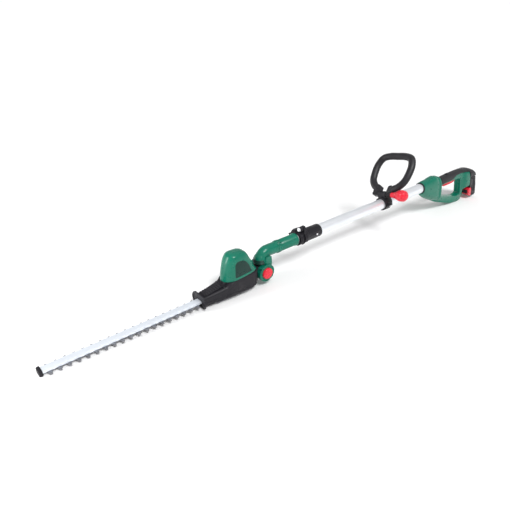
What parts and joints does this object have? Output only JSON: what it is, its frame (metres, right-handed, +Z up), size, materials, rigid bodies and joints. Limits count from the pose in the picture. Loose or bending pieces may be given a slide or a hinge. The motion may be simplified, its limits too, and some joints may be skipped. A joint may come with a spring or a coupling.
{
  "type": "cordless pole hedge trimmer",
  "caption": "Long-reach cordless hedge trimmer with a toothed blade, a domed motor head, a tilting elbow, a telescopic pole, a loop handle and a D-shaped rear grip with a battery.",
  "frame": {"origin": "bottom centre of the bounding box, on the floor that the tool lies on", "axes": "+X forward along the tool to the blade's tip, +Y to the user's left, +Z up"},
  "size_m": [1.9318, 0.2064, 0.2897],
  "materials": {
    "green_plastic": "moulded",
    "black_plastic": "moulded",
    "dark_panel": "moulded",
    "battery_case": "moulded",
    "soft_rubber": "textured",
    "loop_rubber": "moulded",
    "red_plastic": "moulded",
    "bar_aluminium": "extruded",
    "tube_aluminium": "anodised",
    "blade_steel": "ground",
    "sole_steel": "rolled",
    "fastener_steel": "zinc",
    "dark_steel": "blackened",
    "gear_steel": "machined",
    "motor_case": "zinc",
    "brass": "machined"
  },
  "bodies": {
    "pole": {"clamp_ring": "black_plastic", "clamp_pin": "fastener_steel", "tube_collar": "black_plastic", "collar_screw": "fastener_steel", "outer_tube": "tube_aluminium", "nose_ring": "black_plastic", "rear_housing_left": "green_plastic", "rear_housing_right": "green_plastic", "soft_grip": "soft_rubber", "trigger_pin": "fastener_steel", "power_switch": "black_plastic", "trigger_spring": "fastener_steel", "terminal_block": "brass", "housing_screw_1": "dark_steel", "housing_screw_2": "dark_steel", "housing_screw_3": "dark_steel", "housing_screw_4": "dark_steel"},
    "front_pole": {"elbow_left": "green_plastic", "elbow_right": "green_plastic", "button_spring": "fastener_steel", "pivot_pin": "fastener_steel", "pivot_cap": "black_plastic", "pole_sleeve": "green_plastic", "inner_tube": "tube_aluminium", "guide_bush": "black_plastic"},
    "head": {"guard_bar": "bar_aluminium", "tip_guard": "black_plastic", "hand_shield": "black_plastic", "gearbox_housing": "black_plastic", "gearbox_cover": "black_plastic", "base_plate": "sole_steel", "motor_cover_left": "green_plastic", "motor_cover_right": "green_plastic", "side_panel_left": "dark_panel", "side_panel_right": "dark_panel", "motor": "motor_case", "head_knuckle": "black_plastic", "blade_bolt_1": "dark_steel", "blade_bolt_2": "dark_steel", "blade_bolt_3": "dark_steel", "blade_bolt_4": "dark_steel", "blade_bolt_5": "dark_steel"},
    "upper_blade": {"upper_blade": "blade_steel"},
    "lower_blade": {"lower_blade": "blade_steel"},
    "drive_gear": {"drive_gear": "gear_steel", "cam_shaft": "dark_steel"},
    "motor_pinion": {"motor_pinion": "brass"},
    "tilt_button": {"tilt_button": "red_plastic"},
    "clamp_lever": {"clamp_lever": "black_plastic"},
    "handle_clamp": {"handle_saddle": "black_plastic", "handle_strap": "black_plastic", "strap_screw_left": "fastener_steel", "strap_screw_right": "fastener_steel", "handle_bolt": "fastener_steel"},
    "loop_handle": {"loop_handle": "loop_rubber"},
    "handle_knob": {"handle_knob": "red_plastic"},
    "trigger": {"trigger": "red_plastic"},
    "lock_off_button": {"lock_off_button": "black_plastic"},
    "battery": {"battery_pack": "battery_case"},
    "battery_latch": {"battery_latch": "red_plastic"}
  },
  "joints": [
    {"name": "pole_extend", "type": "slide", "parent": "pole", "child": "front_pole", "axis": [0.9997, 0, -0.0248], "range_m": [0, 0.35]},
    {"name": "head_tilt", "type": "hinge", "parent": "front_pole", "child": "head", "pos_m": [0.28245, 0.00984, 0.04346], "axis": [0, 1, 0], "range_deg": [0, 90]},
    {"name": "tilt_button_press", "type": "slide", "parent": "front_pole", "child": "tilt_button", "axis": [0, -1, 0], "range_m": [0, 0.003], "stiffness_N_per_m": 600, "springref_m": -0.004},
    {"name": "upper_blade_slide", "type": "slide", "parent": "head", "child": "upper_blade", "axis": [0.9997, 0, -0.0248], "range_m": [-0.005, 0.005]},
    {"name": "lower_blade_slide", "type": "slide", "parent": "head", "child": "lower_blade", "axis": [0.9997, 0, -0.0248], "range_m": [-0.005, 0.005]},
    {"name": "gear_turn", "type": "hinge", "parent": "head", "child": "drive_gear", "pos_m": [0.41606, 0.00984, 0.02615], "axis": [0.0248, 0, 0.9997], "continuous": true},
    {"name": "pinion_turn", "type": "hinge", "parent": "head", "child": "motor_pinion", "pos_m": [0.38887, 0.00984, 0.02682], "axis": [0.0248, 0, 0.9997], "continuous": true},
    {"name": "clamp_lever_open", "type": "hinge", "parent": "pole", "child": "clamp_lever", "pos_m": [0.13776, 0.01784, 0.13858], "axis": [-0.9997, 0, 0.0248], "range_deg": [0, 100]},
    {"name": "handle_slide", "type": "slide", "parent": "pole", "child": "handle_clamp", "axis": [0.9997, 0, -0.0248], "range_m": [-0.1, 0.25]},
    {"name": "loop_tilt", "type": "hinge", "parent": "handle_clamp", "child": "loop_handle", "pos_m": [-0.31412, 0.00242, 0.14893], "axis": [0.0056, 0.9744, 0.2249], "range_deg": [-35, 60]},
    {"name": "knob_turn", "type": "hinge", "parent": "handle_clamp", "child": "handle_knob", "pos_m": [-0.31412, 0.00242, 0.14893], "axis": [0.0056, 0.9744, 0.2249], "range_deg": [0, 720]},
    {"name": "trigger_squeeze", "type": "hinge", "parent": "pole", "child": "trigger", "pos_m": [-0.79816, 0.00984, 0.11326], "axis": [0, -1, 0], "range_deg": [0, 6], "stiffness_Nm_per_rad": 0.8, "springref_deg": -5.73},
    {"name": "lock_off_press", "type": "slide", "parent": "pole", "child": "lock_off_button", "axis": [-0.0248, 0, -0.9997], "range_m": [0, 0.003], "stiffness_N_per_m": 400, "springref_m": -0.003},
    {"name": "battery_slide", "type": "slide", "parent": "pole", "child": "battery", "axis": [-0.3283, 0, -0.9446], "range_m": [0, 0.09]},
    {"name": "battery_latch_press", "type": "slide", "parent": "battery", "child": "battery_latch", "axis": [-0.9997, 0, 0.0248], "range_m": [0, 0.003], "stiffness_N_per_m": 800, "springref_m": -0.003}
  ],
  "couplings": [
    {"joint": "lower_blade_slide", "follows": "upper_blade_slide", "ratio": -1},
    {"joint": "pinion_turn", "follows": "gear_turn", "ratio": -4.2}
  ]
}
